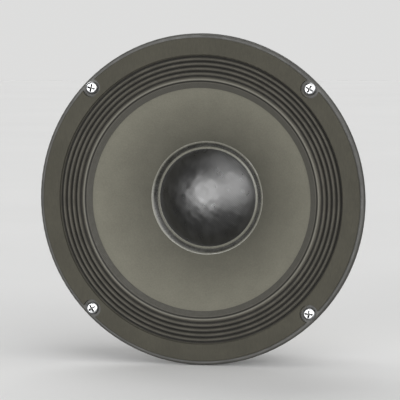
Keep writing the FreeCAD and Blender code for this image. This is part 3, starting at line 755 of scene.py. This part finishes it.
def surround_cloth():
    """Doped cloth with its threads rubbed lighter. The troughs are painted nearly black: painted shade.

    The land has a painted highlight, a pale ring, and the lap on the cone is painted darker: glue, and
    painted shade along its step."""
    paint = Paint("surround_cloth", (0.08, 0.075, 0.061), 0.62, Sheen_Weight=0.05,
                  Sheen_Roughness=0.5, Specular_IOR_Level=0.3)
    threads = paint.weave(0.62)
    radius = paint.radius()
    outwards = paint.math("SUBTRACT", radius, FIRST_TROUGH_R * MM)
    swing = paint.math("COSINE", paint.math("MULTIPLY", outwards, math.pi / (ROLL_STEP * MM)))
    painted_trough_shade = paint.span(swing, 0.0, 1.0, -0.35, 0.85)
    land = paint.math("MULTIPLY", paint.beyond(radius, 74.8, 75.4), paint.within(radius, 75.8, 76.6))
    lap = paint.within(radius, 73.4, 74.2)
    worn = paint.span(threads, 0.0, 0.22, -1.0, 1.0)
    tone = paint.mottle(paint.noise(9.0, 4.0), 0.9, 1.2)
    # Painted shade: nearly black in the troughs between the rolls.
    tone = paint.blend(painted_trough_shade, tone, (0.005, 0.0044, 0.0034))
    # Painted highlight: a pale ring on the flat land.
    tone = paint.blend(land, tone, (0.135, 0.13, 0.108))
    # The lap is painted darker: glue, and painted shade along its step onto the cone.
    tone = paint.blend(lap, tone, (0.043, 0.041, 0.0335))
    paint.set("Base Color", paint.blend(worn, tone, (0.11, 0.105, 0.09)))
    paint.set("Roughness", paint.span(paint.noise(2.0, 3.0), 0.5, 0.75))
    return paint.relief(threads, 0.03).relief(paint.noise(0.5, 4.0), 0.02).done()


def cap_cloth():
    """Black cloth under brushed lacquer that has dried in patches."""
    paint = Paint("dust_cap_cloth", (0.006, 0.006, 0.0055), 0.37, Specular_IOR_Level=1.0,
                  IOR=1.68)
    threads = paint.weave(0.7)
    lacquer = paint.noise(7.0, detail=2.5, stretch=(1.3, 1.0, 0.8), rough=0.5)
    paint.set("Base Color", paint.mottle(lacquer, 0.7, 1.5))
    paint.set("Roughness", paint.span(lacquer, 0.26, 0.4))
    paint.relief(threads, 0.03).relief(lacquer, 0.16).relief(paint.noise(1.3, 2.0), 0.03)
    return paint.done()


def glue():
    """Black contact glue. Along both edges of the bead round the dust cap it is painted paler: painted
    highlight lines.
    """
    paint = Paint("black_glue", (0.028, 0.0275, 0.024), 0.26, Specular_IOR_Level=0.7)
    radius = paint.radius()
    edges = paint.math("ADD", paint.within(radius, 32.2, 33.0), paint.beyond(radius, 34.7, 35.6))
    painted_edge_highlight = paint.math("MULTIPLY", edges, paint.beyond(radius, 30.0, 30.2))
    pooled = paint.mottle(paint.noise(5.0, 4.0), 0.7, 1.5)
    # Painted highlight: pale lines along both edges of the bead round the dust cap.
    paint.set("Base Color", paint.blend(painted_edge_highlight, pooled, (0.15, 0.147, 0.122)))
    paint.set("Roughness", paint.span(paint.noise(3.0, 3.0), 0.18, 0.34))
    return paint.relief(paint.noise(2.2, 3.0), 0.06).done()


def spider_cloth():
    """Woven cotton stiffened with amber resin, darker between the threads."""
    paint = Paint("spider_cloth", (0.42, 0.27, 0.09), 0.72, Sheen_Weight=0.1)
    threads = paint.weave(0.8)
    gaps = paint.span(threads, 0.0, 0.5, 1.0, -1.0)
    resin = paint.mottle(paint.noise(8.0, 4.0), 0.75, 1.15)
    paint.set("Base Color", paint.blend(gaps, resin, (0.2, 0.11, 0.03)))
    paint.set("Roughness", paint.span(paint.noise(3.0), 0.6, 0.82))
    return paint.relief(threads, 0.06).relief(paint.noise(0.6, 3.0), 0.02).done()


def former_film():
    """Amber heat-proof film over glass cloth."""
    paint = Paint("former_film", (0.38, 0.2, 0.05), 0.25, Coat_Weight=0.3)
    cloth = paint.weave(0.3, wander_mm=0.02)
    paint.set("Base Color", paint.mottle(paint.noise(5.0, 4.0), 0.8, 1.2))
    paint.set("Roughness", paint.span(paint.noise(2.0), 0.2, 0.36))
    return paint.relief(cloth, 0.01).done()


def winding_wire():
    """Enamelled copper wire, wound side by side, painted darker in the grooves between the turns as
    painted shade.
    """
    pitch = 0.28 * MM
    paint = Paint("copper_winding", (0.55, 0.2, 0.08), 0.3, metallic=1.0)
    depth = paint.node("SeparateXYZ", Vector=paint.place).outputs[1]
    turns = paint.math("SINE", paint.math("MULTIPLY", depth, math.pi / pitch))
    turns = paint.math("ABSOLUTE", turns)
    # Painted shade: the colour darkens in the grooves between the turns.
    paint.set("Base Color", paint.mottle(turns, 0.35, 1.1, low=0.1, high=0.6))
    paint.set("Roughness", paint.span(paint.noise(1.5), 0.24, 0.4))
    return paint.relief(turns, 0.12).done()


def wire(name, colour, roughness):
    """Drawn wire, a little tarnished."""
    paint = Paint(name, colour, roughness, metallic=1.0)
    paint.set("Base Color", paint.mottle(paint.noise(0.8, 3.0), 0.75, 1.2))
    paint.set("Roughness", paint.span(paint.noise(0.5, 3.0), roughness - 0.08, roughness + 0.12))
    return paint.relief(paint.noise(0.2, 2.0), 0.01).done()


def dress_cad_node(name, material):
    """Give a CAD node that stays in view its material."""
    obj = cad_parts[name]
    if not obj.material_slots:
        obj.data.materials.append(None)
    for slot in obj.material_slots:
        slot.material = material


def piece(obj, materials, replaced):
    """Give a new piece its materials and its finish, and hide the CAD node that it stands for."""
    for material in materials:
        obj.data.materials.append(material)
    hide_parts(replaced)
    return obj


def set_follow(obj):
    """Bake the piece's placement into its points; nothing bends it between bodies.
    """
    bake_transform(obj)


# Build

black_glue = glue()
plated = zinc("screw_plating", (0.78, 0.79, 0.8), 0.32)
# The cross recesses get a dark, dull metal: painted shade in the recesses.
painted_recess_shade = zinc("screw_recess_painted_shade", (0.16, 0.16, 0.16), 0.45)
steel_wire = wire("spring_wire", (0.6, 0.6, 0.6), 0.25)
tinned = zinc("tinned_brass", (0.78, 0.74, 0.62), 0.3)
solder = zinc("solder", (0.7, 0.71, 0.72), 0.2)
braid = wire("lead_braid", (0.72, 0.42, 0.22), 0.34)
black_mould = moulded("terminal_plastic", (0.022, 0.022, 0.022), 0.42)

dress_cad_node("basket", powder_coat())
dress_cad_node("front_gasket", board())
dress_cad_node("cone_neck_glue", black_glue)
dress_cad_node("lead_eyelets", tinned)
dress_cad_node("voice_coil_former", former_film())
dress_cad_node("voice_coil_winding", winding_wire())
dress_cad_node("magnet", ferrite())
plates = turned_steel("plate_steel", (0.56, 0.54, 0.5), 0.36)
for name in ("top_plate", "back_plate"):
    dress_cad_node(name, plates)
dress_cad_node("pole_piece", turned_steel("pole_steel", (0.5, 0.49, 0.47), 0.4))
dress_cad_node("vent_screen", zinc("screen_steel", (0.16, 0.16, 0.16), 0.42))
dress_cad_node("motor_screws", zinc("black_oxide", (0.07, 0.07, 0.075), 0.38))
dress_cad_node("terminal_board", laminate())
dress_cad_node("terminal_board_screws", plated)
for name in ("positive", "negative"):
    dress_cad_node(name + "_terminal_housing", black_mould)
    dress_cad_node(name + "_terminal_contact", tinned)
dress_cad_node("positive_terminal_button", moulded("red_plastic", (0.55, 0.02, 0.014), 0.3))
dress_cad_node("negative_terminal_button", moulded("black_plastic", (0.018, 0.018, 0.018), 0.3))

surround = piece(make_surround(), [surround_cloth()], "surround")
set_follow(surround)
spider = piece(make_spider(), [spider_cloth()], "spider")
set_follow(spider)
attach(piece(make_cone(), [paper()], "cone"), "cone_body")
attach(piece(make_dust_cap(), [cap_cloth()], "dust_cap"), "cone_body")
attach(piece(make_cap_glue(), [black_glue], "dust_cap_glue"), "cone_body")
screws = piece(make_screws(), [plated, painted_recess_shade], "mounting_screws")
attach(screws, "basket_body")
for name, side in (("positive", 1), ("negative", -1)):
    lead, lead_shares = make_lead(name + "_lead_braid", side)
    piece(lead, [braid, solder], name + "_lead")
    set_follow(lead)
    spring = piece(make_spring(name + "_terminal_coil", side), [steel_wire],
                   name + "_terminal_spring")
    set_follow(spring)


# Stage, lights and camera

def direction(azimuth, elevation):
    """Unit vector away from the driver: azimuth 0 is in front of it, 90 to the camera's right."""
    a = math.radians(azimuth)
    e = math.radians(elevation)
    return Vector((math.sin(a) * math.cos(e), -math.cos(a) * math.cos(e), math.sin(e)))


def make_floor():
    """A wide, dull, pale floor that the flange's rim stands on."""
    level = cad_low.z / MM
    half = STAGE_R
    corners = [(x * half, y * half, level) for x, y in ((-1, -1), (1, -1), (1, 1), (-1, 1))]
    floor = link_mesh("floor", corners, [(0, 1, 2, 3)])
    paint = Paint("floor_paint", FLOOR_COLOUR, 0.9, Specular_IOR_Level=0.0)
    paint.set("Base Color", paint.mottle(paint.noise(400.0, 2.0), 0.99, 1.01))
    floor.data.materials.append(paint.done())
    floor.visible_shadow = False
    floor.visible_glossy = False


def floor_light():
    """How brightly the open floor is lit: the ambient light, and each light's disc in small steps."""
    total = AMBIENT * math.pi
    for _, _, elevation, spread, strength in LIGHTS:
        half = math.radians(spread / 2)
        rise = math.radians(elevation)
        share = 0.0
        weight = 0.0
        for off in np.linspace(0, half, 41)[1:]:
            for turn in np.linspace(0, 2 * math.pi, 72, endpoint=False):
                up = math.cos(off) * math.sin(rise) + math.sin(off) * math.cos(rise) * math.cos(turn)
                share += max(0.0, up) * math.sin(off)
                weight += math.cos(off) * math.sin(off)
        total += strength * share / weight
    return total / math.pi


def make_backdrop():
    """A dome round the floor that only the camera sees. It glows as brightly as the lit floor does."""
    lit = floor_light()
    dome_r = 0.95 * STAGE_R
    rows = 40
    columns = 96
    points = []
    for rise in np.linspace(-0.1, math.pi / 2, rows):
        for turn in np.linspace(0, 2 * math.pi, columns, endpoint=False):
            points.append((dome_r * math.cos(rise) * math.cos(turn),
                           dome_r * math.cos(rise) * math.sin(turn), dome_r * math.sin(rise)))
    dome = link_mesh("backdrop", points, grid_faces(rows, columns, False))
    paint = Paint("backdrop_paint", (0.0, 0.0, 0.0), 1.0, Specular_IOR_Level=0.0,
                  Emission_Strength=1.0)
    paint.shader.inputs["Emission Color"].default_value = (*[c * lit for c in FLOOR_COLOUR], 1.0)
    dome.data.materials.append(paint.done())
    for ray in ("diffuse", "glossy", "transmission", "volume_scatter", "shadow"):
        setattr(dome, "visible_" + ray, False)


def soft_light(name, azimuth, elevation, spread, strength):
    """A light so far away that it lights the driver and the floor evenly, with soft shadows."""
    data = bpy.data.lights.new(name, "SUN")
    data.angle = math.radians(spread)
    data.energy = strength
    lamp = bpy.data.objects.new(name, data)
    lamp.rotation_euler = (-direction(azimuth, elevation)).to_track_quat("-Z", "Y").to_euler()
    bpy.context.scene.collection.objects.link(lamp)


def make_camera():
    """A long lens aimed at the middle of the flange's front."""
    back = direction(AZIMUTH, ELEVATION)
    data = bpy.data.cameras.new("camera")
    data.sensor_width = SENSOR
    data.lens = LENS
    camera = bpy.data.objects.new("camera", data)
    camera.location = Vector((0, FACE_Y * MM, 0)) + back * DISTANCE
    camera.rotation_euler = (-back).to_track_quat("-Z", "Y").to_euler()
    bpy.context.scene.collection.objects.link(camera)
    bpy.context.scene.camera = camera


make_floor()
make_backdrop()
for light in LIGHTS:
    soft_light(*light)
make_camera()

world = bpy.data.worlds.new("studio")
world.use_nodes = True
world.node_tree.nodes["Background"].inputs["Color"].default_value = (1.0, 1.0, 1.0, 1.0)
world.node_tree.nodes["Background"].inputs["Strength"].default_value = AMBIENT
bpy.context.scene.world = world
bpy.context.scene.view_settings.view_transform = "Standard"
